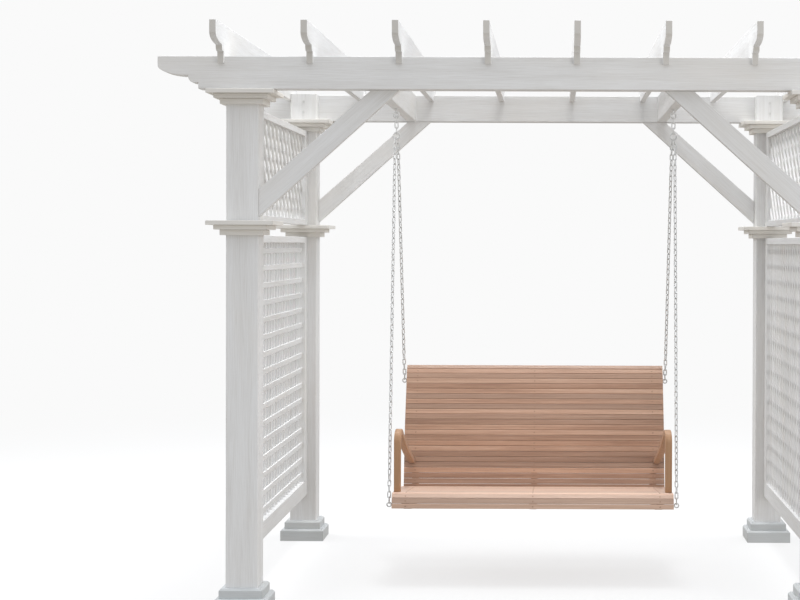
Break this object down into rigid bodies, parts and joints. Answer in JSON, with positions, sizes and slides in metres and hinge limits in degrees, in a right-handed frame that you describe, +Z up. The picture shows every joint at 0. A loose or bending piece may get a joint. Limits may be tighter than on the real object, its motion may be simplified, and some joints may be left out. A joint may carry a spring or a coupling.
{
  "type": "pergola swing",
  "caption": "Slatted bench swing with a contoured seat and arched arms, hung on chains inside a freestanding four-post wooden pergola with lattice sides.",
  "frame": {"origin": "on the ground at the middle of the four posts", "axes": "+X along the bench and the long beams, to the sitter's left; -Y is the open front that the sitter faces; +Z up"},
  "size_m": [3.224, 2.38, 2.54],
  "materials": {
    "painted_wood": "whitewashed timber, matte",
    "cedar": "oiled cedar, satin",
    "galvanised_steel": "galvanised, dull",
    "coated_steel": "brown screw coating, matte",
    "painted_steel": "painted over with the frame, matte"
  },
  "bodies": {
    "pergola": {"front_beam": "painted_wood", "rear_beam": "painted_wood", "post_front_left": "painted_wood", "post_front_right": "painted_wood", "post_rear_left": "painted_wood", "post_rear_right": "painted_wood", "base_front_left": "painted_wood", "base_front_right": "painted_wood", "base_rear_left": "painted_wood", "base_rear_right": "painted_wood", "collar_front_left": "painted_wood", "collar_front_right": "painted_wood", "collar_rear_left": "painted_wood", "collar_rear_right": "painted_wood", "capital_front_left": "painted_wood", "capital_front_right": "painted_wood", "capital_rear_left": "painted_wood", "capital_rear_right": "painted_wood", "brace_front_left": "painted_wood", "brace_front_right": "painted_wood", "brace_rear_left": "painted_wood", "brace_rear_right": "painted_wood", "rafter_1": "painted_wood", "rafter_2": "painted_wood", "rafter_3": "painted_wood", "rafter_4": "painted_wood", "rafter_5": "painted_wood", "rafter_6": "painted_wood", "rafter_7": "painted_wood", "rafter_8": "painted_wood", "swing_joist_left": "painted_wood", "swing_joist_right": "painted_wood", "lower_frame_left": "painted_wood", "lower_frame_right": "painted_wood", "upper_frame_left": "painted_wood", "upper_frame_right": "painted_wood", "lower_lattice_left": "painted_wood", "lower_lattice_right": "painted_wood", "upper_lattice_left": "painted_wood", "upper_lattice_right": "painted_wood", "joist_eye_bolts": "galvanised_steel", "frame_screws": "painted_steel"},
    "hangers": {"hanger_left": "galvanised_steel", "hanger_right": "galvanised_steel"},
    "bench": {"front_chain_left": "galvanised_steel", "front_chain_right": "galvanised_steel", "rear_chain_left": "galvanised_steel", "rear_chain_right": "galvanised_steel", "arm_left": "cedar", "arm_right": "cedar", "seat_rib_left": "cedar", "seat_rib_centre": "cedar", "seat_rib_right": "cedar", "back_rib_left": "cedar", "back_rib_centre": "cedar", "back_rib_right": "cedar", "seat_slats": "cedar", "back_slats": "cedar", "bench_eye_bolts": "galvanised_steel", "slat_screws": "coated_steel"}
  },
  "joints": [
    {"name": "swing", "type": "hinge", "parent": "pergola", "child": "hangers", "pos_m": [0, 0.0351, 2.217], "axis": [1, 0, 0], "range_deg": [-28, 28]},
    {"name": "bench_rock", "type": "hinge", "parent": "hangers", "child": "bench", "pos_m": [0, 0.0351, 2.11306], "axis": [1, 0, 0], "range_deg": [-8, 8]}
  ]
}
